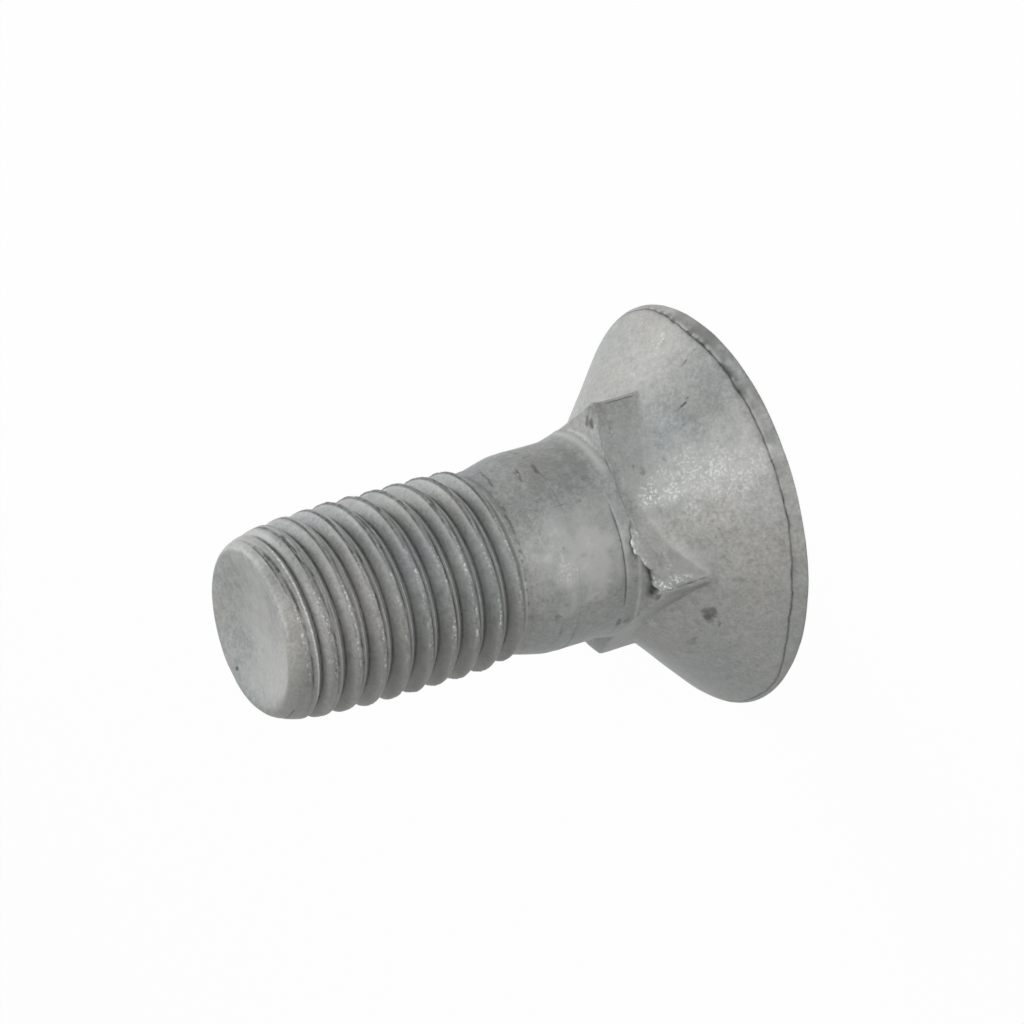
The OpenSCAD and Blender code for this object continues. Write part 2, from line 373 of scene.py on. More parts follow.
# sizes of the head, the neck and the plain shank, in mm and degrees; a span is from, to and how softly
headShank = {
    "rimRing": (16, 1),           # radius and height of the rings where the rim's and neck's noises are read
    "neckRing": (9, 1),
    "faceMiddle": 0.9,            # innermost ring of the flat face
    "faceBevel": 0.15,
    "creaseHigh": 1.05,           # height of the rim's crease over its span, and elsewhere
    "creaseLow": 0.5,
    "creaseSpan": (-163, -32, 34),
    "creaseBump": (-129, 11, 0.06),
    "creaseWander": {"rim": 0.09, "rimMiddle": 0.04, "rimFine": 0.02},
    "creaseDepth": 0.14,
    "creaseKnots": (-0.09, 0.01, 0.13),         # edge, bottom and far side of the crease, above its line
    "rimInset": 0.70,             # how far the cone stays inside the rim at the crease
    "rimWander": 0.03,
    "outOfCentre": (-0.05, 0.158),
    "flatHalf": 8.1,
    "cornerRadii": {-45: 11.25, -135: 11.25, 135: 10.6, 45: 11.1},
    "cornerReach": 60,
    "cornerRound": 0.12,
    "ledgeFoot": 10.5,
    "ledgeSlope": math.tan(math.radians(16)),
    "filletLeast": 0.08,          # between the square and the cone
    "filletMore": [(0.5, (-130, -62, 24)), (0.3, (-32, 122, 50))],
    "burrHeight": 0.6,
    "burrSpan": (-139, -105, 9),
    "burrRagged": 0.6,
    "nick": (-48, 4, 0.35),       # angle, width and depth
    "bluntCorner": (135, 14),
    "bluntDrop": 0.35,
    "bluntOut": 0.05,
    "collarRadius": 8.28,
    "collarMore": (0.25, (-95, -5, 30)),
    "collarEnd": 11.42,
    "collarTilt": (0.00375, -125, -20, 30),     # rise in mm a degree, from which angle, and its limits
    "collarCrease": 0.11,
    "collarKnots": (-0.03, 0.04, 0.14),         # edge, bottom and far side of the crease behind the collar
    "creasedSpan": (-152, -92, 14),
    "blobHeight": 0.06,
    "blobRough": 0.10,
    "fuzz": [(0.3, (-140, -70, 30)), (0.75, (-78, -22, 14))],       # painted shade beside the rim's crease
}

# its painted lines: the knot that each follows, rows past it, width in rows, strength and span of angles
headLines = {
    # painted shade in the creases and behind the burr, and a painted highlight on the burr
    "rimCrease": ("crease", 0, 1.6, 1.0, None),
    "rimFuzz": ("crease", -2, 4.0, 1.0, None),
    "collarCrease": ("collarCrease", 0, 1.5, 0.75, None),
    "burrShadow": ("burr", 4, 3.2, 1.05, (-142, -109, 8)),
    "burrShine": ("burr", -1, 1.6, 1.0, (-138, -108, 5)),
}


# the ledges rise towards the shank: height from radius
def ledgeHeight(radius):
    return headShank["ledgeFoot"] - (radius - boltForm["shankRadius"]) * headShank["ledgeSlope"]


# the profile for every column, as named knots with the steps to the next one, radius and height. The
# cone's radius and height add up to one sum, as it is a 90 degree cone, and the square is the distance of
# its flats over the cosine of the angle from them, cut short at the corners
def headProfile(beta, wobble, ragged, creased):
    s = headShank
    head, shank = boltForm["headRadius"], boltForm["shankRadius"]
    fromFlat = np.abs(angleGap(beta, 90 * np.round(beta / 90)))
    near = {b: ease(1 - np.abs(angleGap(beta, b)) / s["cornerReach"]) for b in s["cornerRadii"]}
    corner = sum(r * near[b] for b, r in s["cornerRadii"].items()) / sum(near.values())
    square = softMin(s["flatHalf"] / np.cos(np.radians(fromFlat)), corner, s["cornerRound"])
    bumpAt, bumpWide, bump = s["creaseBump"]
    creaseZ = s["creaseLow"] + (s["creaseHigh"] - s["creaseLow"]) * between(beta, *s["creaseSpan"])
    creaseZ = creaseZ + bump * bell(angleGap(beta, bumpAt), bumpWide)
    rimRing = placeOf(*s["rimRing"], beta)
    creaseZ = creaseZ + sum(depth * latticeNoise(rimRing, name) for name, depth in s["creaseWander"].items())
    creaseEdge, creaseFoot, creaseFar = s["creaseKnots"]
    coneSum = head - s["rimInset"] + s["creaseHigh"]
    rim = np.minimum(coneSum - creaseZ + s["rimWander"] * wobble, head - 0.1)
    fillet = s["filletLeast"] + sum(more * between(beta, *span) for more, span in s["filletMore"])
    nickAt, nickWide, nick = s["nick"]
    burr = between(beta, *s["burrSpan"]) * s["burrHeight"] * (1 + s["burrRagged"] * ragged)
    burr = burr - nick * bell(angleGap(beta, nickAt), nickWide)
    blunt = bell(angleGap(beta, s["bluntCorner"][0]), s["bluntCorner"][1])
    more, moreSpan = s["collarMore"]
    inner = np.minimum(square - 0.02, softMax(square - 0.5, s["collarRadius"] + 0.1, 0.1))
    foot = softMin(s["collarRadius"] + more * between(beta, *moreSpan), square + 0.12, 0.1)
    footZ = np.maximum(ledgeHeight(foot), ledgeHeight(square) + 0.04)
    tilt, tiltFrom, tiltLow, tiltHigh = s["collarTilt"]
    collarEnd = s["collarEnd"] + tilt * np.clip(angleGap(beta, tiltFrom), tiltLow, tiltHigh)
    collarEdge, collarFoot, collarFar = s["collarKnots"]
    sunk = s["collarCrease"] * creased - 0.03 * (1 - creased)
    return [
        ("faceMiddle", 8, s["faceMiddle"], 0),
        ("faceEdge", 2, head - s["faceBevel"], 0),
        ("bevel", 12, head, s["faceBevel"]),
        ("rim", 3, rim, creaseZ + creaseEdge),
        ("crease", 3, rim - s["creaseDepth"], creaseZ + creaseFoot),
        ("coneFoot", 47, coneSum - creaseZ - creaseFar, creaseZ + creaseFar),
        ("coneTop", 6, square + fillet, coneSum - square - fillet),
        ("squareFoot", 21, square, coneSum - square + 1.1 * fillet),
        ("squareTop", 8, square + s["bluntOut"] * blunt, ledgeHeight(square) - s["bluntDrop"] * blunt),
        ("burr", 6, inner - s["bluntOut"] * blunt, ledgeHeight(inner) + burr),
        ("ledge", 6, (inner + foot) / 2, ledgeHeight((inner + foot) / 2)),
        ("collar", 14, foot, footZ),
        ("collarEnd", 3, shank + 0.08, collarEnd + collarEdge),
        ("collarCrease", 3, shank - sunk, collarEnd + collarFoot),
        ("shank", 36, shank, collarEnd + collarFar),
        ("cut", 0, shank, boltForm["splitHeight"]),
    ]


# head and shank: the profile's knots are filled with straight rows, rounded over, moved along their own
# normal by the zinc and closed by a pole at each end
def makeHeadAndShank():
    s = headShank
    beta = columnAngles()[:-1]
    columns, shank, cut = boltForm["columns"], boltForm["shankRadius"], boltForm["splitHeight"]
    wobble = latticeNoise(placeOf(*s["rimRing"], beta), "rim")
    neckRing = placeOf(*s["neckRing"], beta)
    ragged = latticeNoise(neckRing, "burr") + 0.6 * latticeNoise(neckRing, "burrFine")
    creased = between(beta, *s["creasedSpan"])
    # the rows, and their direction from one to the next
    names, steps, radii, heights = zip(*headProfile(beta, wobble, ragged, creased))
    knots = [np.stack(np.broadcast_arrays(r, z, beta)[:2], axis=-1) for r, z in zip(radii, heights)]
    rowAt = dict(zip(names, np.cumsum((0,) + steps)))
    rows = roundOver(runThrough(knots, steps), 3)
    along = np.gradient(rows, axis=0)
    along /= np.maximum(np.linalg.norm(along, axis=-1, keepdims=True), 1e-6)
    # the zinc, and the blobs beside the burr
    radius, level = rows[..., 0], rows[..., 1]
    place = placeOf(radius, level, beta)
    raised = zincHeight(place) * rise(radius, 0, boltForm["flatMiddle"]) * (level > 0.02)
    raised = raised + markedBy("lump", place) * (
        s["blobRough"] * latticeNoise(place, "blob") + s["blobHeight"])
    radius = radius + along[..., 1] * raised
    level = level - along[..., 0] * raised
    level[-1] = cut
    level[:rowAt["faceEdge"] + 1] = 0
    place = placeOf(radius, np.maximum(level, 0), beta)
    # the head sits a little out of centre
    outward = rise(radius, shank, boltForm["headRadius"]) * (level < 9)
    place[..., :2] += outward[..., None] * np.array(s["outOfCentre"])
    points = np.concatenate([[[0, 0, 0]], place.reshape(-1, 3), [[0, 0, cut]]])
    rings = 1 + np.arange(len(rows) * columns).reshape(-1, columns)
    table = withPoles(0, np.concatenate([rings, rings[:, :1]], axis=1), len(points) - 1)
    way = np.concatenate([[0], np.cumsum(np.linalg.norm(np.diff(rows, axis=0), axis=-1).mean(axis=1))])
    way = np.concatenate([[0], way + s["faceMiddle"], [way[-1] + 3]])

    def lineOn(name):
        knot, past, width, strength, span = headLines[name]
        line = strength * bell(np.arange(len(rows))[:, None] - rowAt[knot] - past, width)
        return line * (between(beta, *span) if span else 1)

    # painted shade along the creases, beside the rim's crease and behind the burr, and a painted highlight on
    # the burr
    fuzz = ease(0.5 + latticeNoise(place, "rimFuzz")) * sum(
        more * between(beta, *span) for more, span in s["fuzz"])
    grooveShade = lineOn("rimCrease") * (0.8 + 0.2 * wobble) + lineOn("rimFuzz") * fuzz
    grooveShade = grooveShade + lineOn("collarCrease") * creased + lineOn("burrShadow")
    paintedHighlight = lineOn("burrShine") * (0.45 + 0.75 * ease(0.5 + 1.2 * ragged))
    values = paintedValues(points, np.pad(grooveShade.ravel(), 1), np.pad(paintedHighlight.ravel(), 1), 0, 0)
    piece = meshFromTable("headAndShank", points, table, (way / way[-1])[:, None], values)
    hardRing(piece, cut)
    return piece


# what the threaded end is made from, in mm and degrees
threadForm = {
    "threadRadius": 7.9,
    "pitch": 2.0,
    "taperStart": 16.6,
    "taperLength": 2.4,
    "crestAtZero": 17.21,     # height of a crest at the angle 0
    "crestHalf": 0.15,
    "runoutLength": 3.2,
    "runoutAhead": 0.08,      # share of the run-out that lies before its start
    "ridgeSunk": 0.03,        # how deep in the blank the ridge starts
    "flankFoot": 0.94,        # how far from the crest line a flank meets the root
    # how widely each corner is rounded
    "rounding": {"taper": 0.06, "root": 0.05, "crest": 0.05, "foot": 0.06, "ridge": 0.03, "end": 0.05},
    "edgeDepth": 0.035,       # fine grooves along both edges of the crest
    "lipHeight": 0.10,        # rolled lip low on the flank that faces the head
    "lipPlace": -0.60,
    "lipWide": 0.14,
    "streakLong": 0.9,        # size of the streaks that rolling leaves along the thread
    "streakWide": 0.11,
    "tornHeight": 36.8,       # about here the last crest is torn
    "tornWide": 0.9,
    "crestLumps": 0.035,
    "lumpBand": (0.05, 0.16),           # place and width of the band that the lumps are on
    "tornLumps": 1.6,         # how much stronger they are where it is torn, and on how wide a band
    "tornBand": 0.5,
    "crestNoise": {"crest": 1.0, "crestWide": 0.6, "crestFine": 0.9},
    "endRoundLength": 6.5,
    "endRoundStep": 0.15,
    "endConeSlope": 0.15,
    "cupRadius": 6.25,
    "cupDepth": 0.9,
    "cupRings": 17,
    "cupMiddle": 0.03,        # innermost ring, as a share of the cup's radius
    "lipRings": 10,
    "levelLow": 15.83,        # the rows that climb merge into level rings here, below and above
    "levelHigh": 39.17,
    "rootClear": 0.02,        # a turn's rows start this far past the root line, so that it isn't split
    "shares": [0, .05, .12, .175, .215, .255, .31, .365, .42, .46, .505, .55, .59, .64, .74, .88, .95],
}

# spans of angles on the thread: from, to and how softly
threadSpans = {
    "farSide": (-67, 110, 35),
    "turned": (-84, 130, 25),
    "middle": (-150, -45, 30),
    "torn": (-150, -65, 25),
    "flankLine": (-125, -50, 25),
    "glint": (-145, -80, 20),
    "lipShine": (-135, -52, 20),
    "lipLight": (-160, -45, 25),
    "lowerLight": (-60, 90, 15),
}

# fine lines along each turn: mm above the crest line, width in mm, strength, and what roughness and
# streaks add to it. The first eight are painted shade in the root, on the back flank and along the crest's
# edges, the next two painted highlights, the next three painted light and the last two dark spots
threadLines = {
    "root": (0.95, 0.06, 1.5, 0, 0),
    "backFlank": (0.40, 0.25, 0.06, 0, 0),
    "lowerEdge": (-0.17, 0.10, 0.78, 0.25, 0.25),
    "crestShade": (0.04, 0.14, 0.35, 0, 0),
    "farShade": (0.10, 0.10, 0.40, 0.20, 0),
    "crestTop": (0.19, 0.09, 0.22, 0.22, 0),
    "upperEdge": (0.19, 0.045, 0.5, 0.2, 0),
    "flankLine": (-0.42, 0.05, 0.6, 0, 0),
    "glint": (0.10, 0.14, 1, 0, 0),
    "lipShine": (-0.61, 0.085, 1.5, 0, 0.5),
    "lipLight": (-0.61, 0.085, 1.2, 0, 0),
    "upperLight": (0.30, 0.06, 0.6, 0, 0),
    "lowerLight": (-0.11, 0.09, 0.9, 0, 0),
    "crestSpots": (-0.12, 0.20, 1, 0, 0),
    "farSpots": (0.08, 0.13, 0.7, 0, 0),
}
lowerEdgeShift = (0.07, -88, 14)    # that line climbs so many mm about an angle, over a width in degrees


# radius of the rounded end: a quarter ellipse over its length, and a slight cone below it
def endRadius(height):
    s = threadForm
    full = s["threadRadius"] - s["endRoundStep"]
    low = boltForm["length"] - s["endRoundLength"]
    share = np.clip((height - low) / s["endRoundLength"], 0, 1)
    curve = s["cupRadius"] + (full - s["cupRadius"]) * np.sqrt(np.maximum(0, 1 - share ** 2))
    return np.where(height < low, full + (low - height) * s["endConeSlope"], curve)


# painted shade, painted highlights, painted light and dark spots along the thread: each is a bell curve
# across the turn, its strength changed by the roughness and the streaks and limited to its span of angles
def threadPaint(signed, span, torn, rough, streak, shift):
    pitch = threadForm["pitch"]

    def line(name, shift=0, wider=0):
        where, width, strength, roughShare, streakShare = threadLines[name]
        gap = signed - shift - where
        gap = gap - pitch * np.round(gap / pitch)
        return (strength + roughShare * rough + streakShare * streak) * bell(gap, width + wider)

    farSide, middle, turned = span["farSide"], span["middle"], span["turned"]
    dark = line("root") + line("backFlank") + 0.12 * rise(signed, 0.25, 1.0)
    dark = dark + line("lowerEdge", shift) * (0.4 + 0.6 * middle) * (1 - 0.9 * farSide)
    dark = dark + (line("crestShade") * ease(0.5 - rough) + line("crestTop")) * middle * (1 - farSide)
    dark = dark + line("farShade") * farSide + line("upperEdge") * turned * (1 + farSide)
    dark = dark + line("flankLine") * span["flankLine"]
    bright = line("glint", wider=0.2 * torn) * ease(0.1 + 1.8 * streak) * (0.1 + 0.8 * span["glint"])
    bright = bright + line("lipShine") * span["lipShine"]
    light = line("upperLight") * turned * (1 - 0.8 * farSide) + line("lipLight") * span["lipLight"]
    light = light + line("lowerLight") * span["lowerLight"]
    spots = line("crestSpots", wider=0.25 * torn) * ease(0.35 + 1.3 * streak) * (0.65 * middle + 0.35 * torn)
    spots = spots + line("farSpots") * farSide * ease(0.4 + streak)
    return dark, bright, light, spots


# radius of the threaded end at a height and angle: the blank's taper, and on it a ridge whose crest line
# climbs one pitch a turn and whose straight flanks run from the crest's edge to the foot. The ridge grows
# over the run-out, and the rounded end cuts it
def threadSurface(height, beta):
    s = threadForm
    shank, rounding = boltForm["shankRadius"], s["rounding"]
    fromCrest = (height - s["crestAtZero"] - beta / 360 * s["pitch"]) / s["pitch"]
    signed = (fromCrest - np.round(fromCrest)) * s["pitch"]
    rootR = s["threadRadius"] - 5 / 8 * s["pitch"] * math.cos(math.pi / 6)
    blankR = s["threadRadius"] - s["pitch"] / 4
    start = s["taperStart"] + s["taperLength"]
    taper = (shank - blankR) / s["taperLength"]
    blank = softMin(shank, blankR + (start - height) * taper, rounding["taper"])
    floor = softMax(blank - 0.02, rootR, rounding["root"])
    grown = ease((height - start) / s["runoutLength"] + s["runoutAhead"])
    sunkR = blankR - s["ridgeSunk"]
    crest = sunkR + (s["threadRadius"] - sunkR) * grown
    share = softMin(
        1, (s["flankFoot"] - np.abs(signed)) / (s["flankFoot"] - s["crestHalf"]), rounding["crest"])
    ridge = rootR + (crest - rootR) * softMax(0, share, rounding["foot"])
    place = placeOf(crest, height, beta)
    rough = sum(depth * latticeNoise(place, name) for name, depth in s["crestNoise"].items())
    alongCrest = (np.round(fromCrest) + beta / 360) * 2 * math.pi * s["threadRadius"]
    streak = np.stack([alongCrest / s["streakLong"], signed / s["streakWide"], 0 * signed], axis=-1)
    streak = latticeNoise(streak, "streak")
    span = {name: between(beta, *limits) for name, limits in threadSpans.items()}
    torn = bell(height - s["tornHeight"], s["tornWide"]) * span["torn"]
    climb, climbAt, climbWide = lowerEdgeShift
    shift = climb * bell(angleGap(beta, climbAt), climbWide)
    lower = bell(signed - shift - threadLines["lowerEdge"][0], threadLines["lowerEdge"][1])
    upper = span["turned"] * bell(signed - threadLines["upperEdge"][0], threadLines["upperEdge"][1])
    lumps = rough * bell(signed - s["lumpBand"][0], s["lumpBand"][1])
    lumps = lumps + s["tornLumps"] * torn * streak * bell(signed, s["tornBand"])
    rolled = s["lipHeight"] * bell(signed - s["lipPlace"], s["lipWide"])
    edges = s["edgeDepth"] * (1.5 * lower + upper)
    radius = softMax(floor, ridge, rounding["ridge"]) + (rolled + s["crestLumps"] * lumps - edges) * grown
    painted = threadPaint(signed, span, torn, rough, streak, shift)
    radius = softMin(radius, endRadius(height), rounding["end"])
    return radius, [np.clip(value * grown, 0, 1) for value in painted]


# threaded end: level rings, then rows that climb with the crest line and merge into the rings at both ends,
# then level rings over the lip, a quarter ellipse, and down into the cup, a shallow cap of a ball
def makeThreadedEnd():
    s = threadForm
    beta = columnAngles()
    columns, cut, top = boltForm["columns"], boltForm["splitHeight"], boltForm["length"]
    per = len(s["shares"])
    # the rows that climb: each turn of the thread has one row for every share
    base = s["crestAtZero"] - s["pitch"] * 2.5 + s["rootClear"]
    turns = math.ceil((s["levelHigh"] - base) / s["pitch"]) + 1
    number = np.arange(turns * per + 1)
    climb = number // per + np.array(s["shares"])[number % per]
    helix = base + s["pitch"] * (climb[:, None] + beta / 360)
    lowRings = np.linspace(cut, s["levelLow"], 4)[:, None] + 0 * beta
    # the lip and the cup, the same for every column
    turnUp = math.asin((s["levelHigh"] - top + s["endRoundLength"]) / s["endRoundLength"])
    angle = np.linspace(turnUp, math.pi / 2, s["lipRings"])
    full = s["threadRadius"] - s["endRoundStep"]
    ball = (s["cupRadius"] ** 2 + s["cupDepth"] ** 2) / (2 * s["cupDepth"])
    cupR = s["cupRadius"] * np.linspace(1, s["cupMiddle"], s["cupRings"] + 1)[1:]
    cupZ = top - s["cupDepth"] + ball - np.sqrt(ball ** 2 - cupR ** 2)
    lipR = s["cupRadius"] + (full - s["cupRadius"]) * np.cos(angle)
    lipZ = top - s["endRoundLength"] * (1 - np.sin(angle))
    endRows = np.stack([np.concatenate([lipR, cupR]), np.concatenate([lipZ, cupZ])], axis=-1)
    endR, endZ = roundOver(endRows, 2).T[..., None]
    lowCount, topCount = len(lowRings), len(endR)
    height = np.concatenate([lowRings, helix, endZ + 0 * beta])
    radius, painted = threadSurface(height, beta)
    radius[-topCount:] = endR
    # the zinc stands off sideways on the thread, and along the profile's own normal on the lip and in the cup
    lump = zincHeight(placeOf(radius, height, beta + 0 * height)) * rise(radius, 0, boltForm["flatMiddle"])
    slopeR, slopeZ = np.gradient(endR, axis=0), np.gradient(endZ, axis=0)
    norm = np.hypot(slopeR, slopeZ)
    outR, outZ = np.ones_like(height), np.zeros_like(height)
    outR[-topCount:], outZ[-topCount:] = slopeZ / norm, -slopeR / norm
    points = placeOf(radius + lump * outR, height + lump * outZ, beta + 0 * height)
    # the seam: a ring ends where it starts, and a climbing row ends where the one a turn above it starts
    ids = np.arange(height.size).reshape(-1, columns + 1)
    low, middle, high = ids[:lowCount].copy(), ids[lowCount:-topCount].copy(), ids[-topCount:].copy()
    low[:, -1], high[:, -1] = low[:, 0], high[:, 0]
    middle[:-per, -1] = middle[per:, 0]
    middle = np.where(helix <= s["levelLow"], low[-1], middle)
    middle = np.where(helix >= s["levelHigh"], high[0], middle)
    table = withPoles(ids.size, np.concatenate([low, middle, high]), ids.size + 1)
    points = np.concatenate([points.reshape(-1, 3), [[0, 0, cut], [0, 0, top - s["cupDepth"]]]])
    # the map: round the bolt one way and along it the other
    clamped = np.clip(helix, s["levelLow"], s["levelHigh"])
    past = s["levelHigh"] + 0.25 + 0.45 * np.arange(topCount)[:, None] + 0 * beta
    way = np.concatenate([0 * beta[None] + cut - 2, lowRings, clamped, past, past[-1:] + 0.6])
    used, table = np.unique(table, return_inverse=True)
    table = table.reshape(way.shape)
    onThread = (height < s["levelHigh"] + 0.01) * (np.arange(len(height))[:, None] < len(height) - topCount)
    painted = [np.pad((value * onThread).ravel(), (0, 2))[used] for value in painted]
    values = paintedValues(points[used], *painted)
    mapV = (way - way.min()) / (way.max() - way.min())
    piece = meshFromTable("threadedEnd", points[used], table, mapV, values)
    hardRing(piece, cut)
    return piece


headAndShank = makeHeadAndShank()
print("head and shank:", len(headAndShank.data.polygons), "faces")
threadedEnd = makeThreadedEnd()
print("threaded end:", len(threadedEnd.data.polygons), "faces")


# an sRGB hex value as linear red, green, blue and alpha
def linearColour(hexValue):
    channels = [int(hexValue[n:n + 2], 16) / 255 for n in (1, 3, 5)]
    return [c / 12.92 if c <= 0.04045 else ((c + 0.055) / 1.055) ** 2.4 for c in channels] + [1]


# adds one node with its settings and links, and returns it
def addNode(tree, kind, settings=None, inputs=None):
    node = tree.nodes.new(kind)
    for label, value in (settings or {}).items():
        setattr(node, label, value)
    for label, value in (inputs or {}).items():
        socket = node.inputs[label]
        if isinstance(value, bpy.types.NodeSocket):
            tree.links.new(value, socket)
        else:
            socket.default_value = value
    return node


# hot-dip galvanised steel: the zinc is matt and cloudy grey, a little metallic, with cool and warm patches
# a few mm wide, a fine grain and dark dross; painted shade in the grooves and painted glints where lamps
# catch it
zinc = {
    "warm": "#a6a5a1",
    "cool": "#999e9e",
    "stain": "#4c4e4a",
    # painted shade in grooves and creases, painted shade elsewhere, painted light, and painted highlights and
    # glints
    "creviceShade": "#232422",
    "paintedShade": "#787975",
    "paintedLight": "#c1c2c0",
    "bright": "#eceeeb",
    "metallic": 0.20,
    "pitDepthMm": 0.04,
    "pitGrain": 0.7,           # the grain's share of the pits
    "stainGrain": 0.9,         # how far the grain pushes a stain about
    # the noises: width in mm and detail; the real grit is finer, it is drawn as coarse as it needs to show
    "noises": {
        "patch": (6.0, 3), "mottle": (1.3, 4), "grain": (0.28, 2), "grit": (0.12, 2), "speck": (0.55, 1),
        "glintNoise": (0.11, 1),
    },
    "noiseRoughness": 0.6,
    "noisePlace": 5.4,         # moves the patches about
    "noiseStep": 1.7,          # from one noise to the next
    # the shares: what each reads, the readings for its low and its high value, and those two values
    "shares": {
        "patch": ("patch", 0.38, 0.62, 0, 1),
        "mottle": ("mottle", 0.3, 0.7, 0.90, 1.10),
        "grain": ("grain", 0.3, 0.7, 0.87, 1.13),
        "grit": ("grit", 0.3, 0.7, 0.82, 1.18),
        "speck": ("speck", 0.62, 0.74, 0, 0.2),
        "roughness": ("mottle", 0.3, 0.7, 0.42, 0.58),
        # painted shade in the grooves broken up by the grain, and painted highlights broken into sparkles
        "grooveShadeGrain": ("grain", 0.35, 0.65, 0.78, 1.05),
        "glitter": ("glintNoise", 0.51, 0.63, 0.16, 1.0),
        "stained": ("pushedStain", 0.68, 1.25, 0, 0.95),
    },
}


def makeZinc():
    material = bpy.data.materials.new("hotDipZinc")
    material.use_nodes = True
    tree = material.node_tree
    tree.nodes.clear()
    place = addNode(tree, "ShaderNodeTexCoord").outputs["Object"]
    # painted shade, painted light, stains, painted shade in the grooves and painted highlights
    paint = {label: addNode(tree, "ShaderNodeAttribute", {"attribute_name": label}).outputs["Fac"]
             for label in ("paintedShade", "paintedLight", "stain", "grooveShade", "paintedHighlight")}
    # noises of one kind, each in a place of its own in the fourth dimension; a scale of 500 is 1 mm
    field = {}
    for number, (label, (width, detail)) in enumerate(zinc["noises"].items()):
        field[label] = addNode(tree, "ShaderNodeTexNoise", {"noise_dimensions": "4D"}, {
            "Vector": place, "W": zinc["noisePlace"] + number * zinc["noiseStep"], "Scale": 500 / width,
            "Detail": detail, "Roughness": zinc["noiseRoughness"]}).outputs["Fac"]
    field["pushedStain"] = addNode(tree, "ShaderNodeMath", {"operation": "MULTIPLY_ADD"}, {
        0: field["grain"], 1: zinc["stainGrain"], 2: paint["stain"]}).outputs[0]
    spread = {}
    for label, (source, low, high, toLow, toHigh) in zinc["shares"].items():
        spread[label] = addNode(tree, "ShaderNodeMapRange", inputs={
            "Value": field[source], "From Min": low, "From Max": high,
            "To Min": toLow, "To Max": toHigh}).outputs[0]
    # products of two values: the grains of the light, and the painted values broken up by the noises
    for label, first, second in [
            ("fine", spread["grain"], spread["grit"]), ("grooveShade", spread["grooveShadeGrain"], paint["grooveShade"]),
            ("paintedHighlight", spread["glitter"], paint["paintedHighlight"])]:
        spread[label] = addNode(tree, "ShaderNodeMath", {
            "operation": "MULTIPLY", "use_clamp": label in paint}, {0: first, 1: second}).outputs[0]
    light = addNode(tree, "ShaderNodeMath", {"operation": "MULTIPLY"}, {
        0: spread["fine"], 1: spread["mottle"]}).outputs[0]
    greyLight = addNode(tree, "ShaderNodeCombineColor", inputs={0: light, 1: light, 2: light}).outputs[0]
    tone = linearColour(zinc["warm"])
    # over the zinc's tone: painted shade, painted light, specks, stains, painted shade in grooves, painted
    # highlights
    for share, colour, kind in [
            (spread["patch"], linearColour(zinc["cool"]), "MIX"),
            (1.0, greyLight, "MULTIPLY"),
            (paint["paintedShade"], linearColour(zinc["paintedShade"]), "MIX"),
            (paint["paintedLight"], linearColour(zinc["paintedLight"]), "MIX"),
            (spread["speck"], linearColour(zinc["stain"]), "MIX"),
            (spread["stained"], linearColour(zinc["stain"]), "MIX"),
            (spread["grooveShade"], linearColour(zinc["creviceShade"]), "MIX"),
            (spread["paintedHighlight"], linearColour(zinc["bright"]), "MIX")]:
        tone = addNode(tree, "ShaderNodeMix", {"data_type": "RGBA", "blend_type": kind}, {
            0: share, 6: tone, 7: colour}).outputs[2]
    relief = addNode(tree, "ShaderNodeMath", {"operation": "MULTIPLY_ADD"}, {
        0: field["grain"], 1: zinc["pitGrain"], 2: field["mottle"]}).outputs[0]
    bump = addNode(tree, "ShaderNodeBump", inputs={
        "Height": relief, "Distance": zinc["pitDepthMm"] / 1000, "Strength": 1.0}).outputs[0]
    shader = addNode(tree, "ShaderNodeBsdfPrincipled", inputs={
        "Base Color": tone, "Metallic": zinc["metallic"], "Roughness": spread["roughness"], "Normal": bump})
    addNode(tree, "ShaderNodeOutputMaterial", inputs={"Surface": shader.outputs[0]})
    return material


zincMaterial = makeZinc()
for piece in (headAndShank, threadedEnd):
    piece.data.materials.append(zincMaterial)
    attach(piece, "root")
    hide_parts("plow_bolt")
print("zinc made")

# the studio: a white floor, a white world and soft lamps
studio = {
    "floorHalf": 2.0,
    "floorColour": "#f4f4f4",
    "floorShows": 0.97,        # how white the floor is to the camera
    "worldLight": 0.06,        # how strongly the world lights the bolt
    # each lamp: azimuth and elevation in degrees as seen from the bolt, width in metres, power in watts
    "lamps": {
        "frontLow": (-106, 9, 0.16, 0.34),
        "frontTop": (-84, 63, 0.18, 0.38),
        "top": (0, 87, 0.20, 0.36),
        "side": (18, 35, 0.20, 0.52),
        "back": (45, 8, 0.20, 0.18),
        "farSide": (150, 30, 0.20, 0.12),
    },
    "lampDistance": 0.4,
    "lampAim": (0, 0, 0.02),
}


# 1 for rays that should see plain white: camera, glossy and transmission rays
def whiteRays(tree):
    path = addNode(tree, "ShaderNodeLightPath").outputs
    some = addNode(tree, "ShaderNodeMath", {"operation": "MAXIMUM"}, {
        0: path["Is Camera Ray"], 1: path["Is Glossy Ray"]}).outputs[0]
    return addNode(tree, "ShaderNodeMath", {"operation": "MAXIMUM"}, {
        0: some, 1: path["Is Transmission Ray"]}).outputs[0]


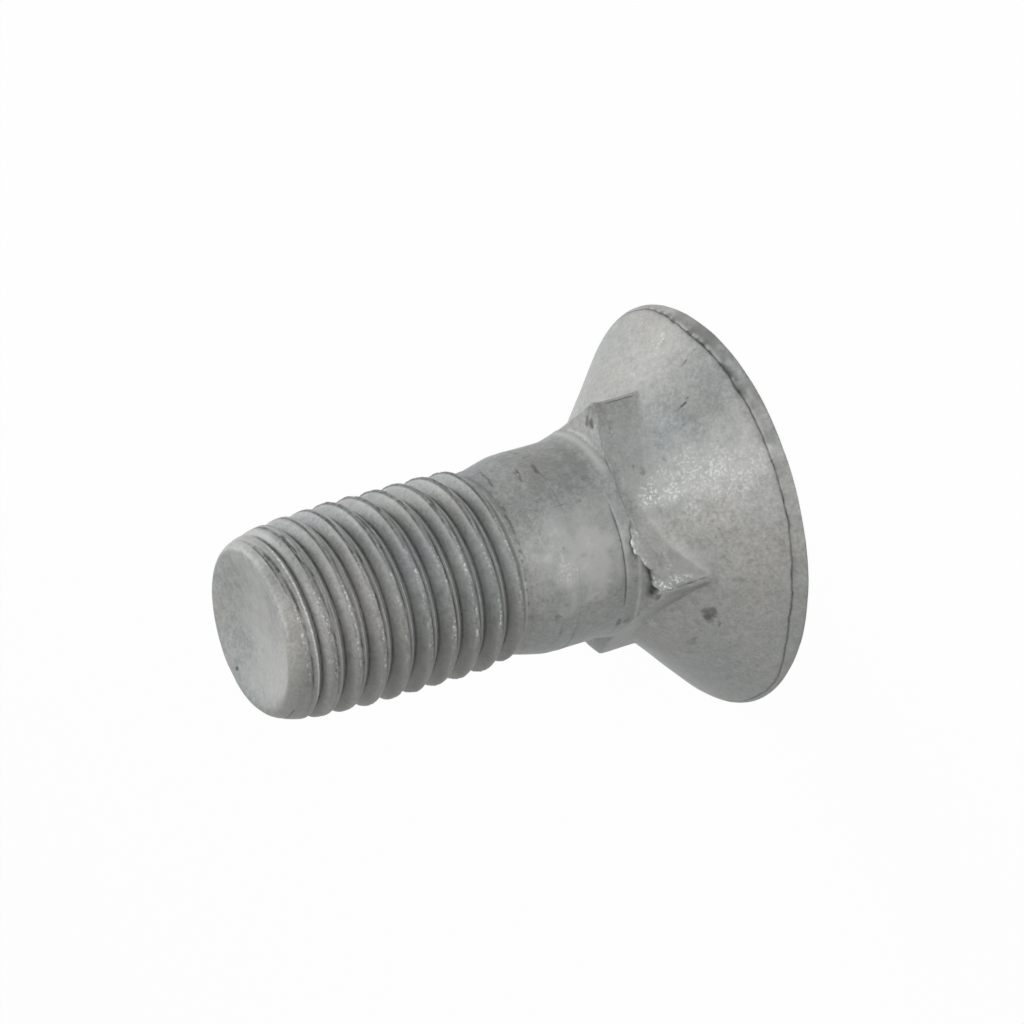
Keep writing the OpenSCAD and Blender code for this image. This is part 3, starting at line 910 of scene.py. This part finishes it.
# white paper that keeps the bolt's shadow: it glows plain white to the rays above and is matt to all others
def makeFloor():
    half = studio["floorHalf"]
    mesh = bpy.data.meshes.new("floor")
    mesh.from_pydata(
        [(-half, -half, 0), (half, -half, 0), (half, half, 0), (-half, half, 0)], [], [(0, 1, 2, 3)])
    floor = bpy.data.objects.new("floor", mesh)
    bpy.context.collection.objects.link(floor)
    material = bpy.data.materials.new("whitePaper")
    material.use_nodes = True
    tree = material.node_tree
    tree.nodes.clear()
    paper = addNode(tree, "ShaderNodeBsdfDiffuse", inputs={"Color": linearColour(studio["floorColour"])})
    glow = addNode(tree, "ShaderNodeEmission", inputs={"Color": (1, 1, 1, 1), "Strength": 1.0})
    amount = addNode(tree, "ShaderNodeMath", {"operation": "MULTIPLY"}, {
        0: whiteRays(tree), 1: studio["floorShows"]})
    mixed = addNode(tree, "ShaderNodeMixShader", inputs={
        0: amount.outputs[0], 1: paper.outputs[0], 2: glow.outputs[0]})
    addNode(tree, "ShaderNodeOutputMaterial", inputs={"Surface": mixed.outputs[0]})
    mesh.materials.append(material)


# the world is white to those rays too, and lights the bolt only a little
def makeWorld():
    world = bpy.data.worlds.new("whiteRoom")
    bpy.context.scene.world = world
    world.use_nodes = True
    tree = world.node_tree
    tree.nodes.clear()
    strength = addNode(tree, "ShaderNodeMapRange", inputs={
        "Value": whiteRays(tree), "To Min": studio["worldLight"], "To Max": 1.0})
    sky = addNode(tree, "ShaderNodeBackground", inputs={
        "Color": (1, 1, 1, 1), "Strength": strength.outputs[0]})
    addNode(tree, "ShaderNodeOutputWorld", inputs={"Surface": sky.outputs[0]})


def makeLamps():
    for name, (azimuth, elevation, size, power) in studio["lamps"].items():
        turn, lift = math.radians(azimuth), math.radians(elevation)
        away = Vector((math.cos(lift) * math.cos(turn), math.cos(lift) * math.sin(turn), math.sin(lift)))
        lamp = bpy.data.lights.new(name, "AREA")
        lamp.size, lamp.energy = size, power
        holder = bpy.data.objects.new(name, lamp)
        holder.location = Vector(studio["lampAim"]) + away * studio["lampDistance"]
        holder.rotation_euler = (-away).to_track_quat("-Z", "Y").to_euler()
        bpy.context.collection.objects.link(holder)


makeFloor()
makeWorld()
makeLamps()
print("studio made")

# the camera: place and aim in metres, its turn about its own axis from upright in degrees, lens in mm
view = {
    "place": (-0.06384, -0.2714, 0.15463),
    "aim": (0.0032, -0.00079, 0.01587),
    "turn": 105.88,
    "lens": 140.62,
    "sensor": 36,
    "nearest": 0.01,
}


def makeCamera():
    data = bpy.data.cameras.new("camera")
    data.lens, data.sensor_width, data.clip_start = view["lens"], view["sensor"], view["nearest"]
    camera = bpy.data.objects.new("camera", data)
    bpy.context.collection.objects.link(camera)
    forward = (Vector(view["aim"]) - Vector(view["place"])).normalized()
    levelRight = forward.cross(Vector((0, 0, 1))).normalized()
    levelUp = levelRight.cross(forward)
    turn = math.radians(view["turn"])
    up = levelUp * math.cos(turn) + levelRight * math.sin(turn)
    right = forward.cross(up)
    turned = Matrix((right, up, -forward)).transposed().to_4x4()
    camera.matrix_world = Matrix.Translation(Vector(view["place"])) @ turned
    bpy.context.scene.camera = camera


makeCamera()
bpy.context.scene.view_settings.view_transform = "Standard"
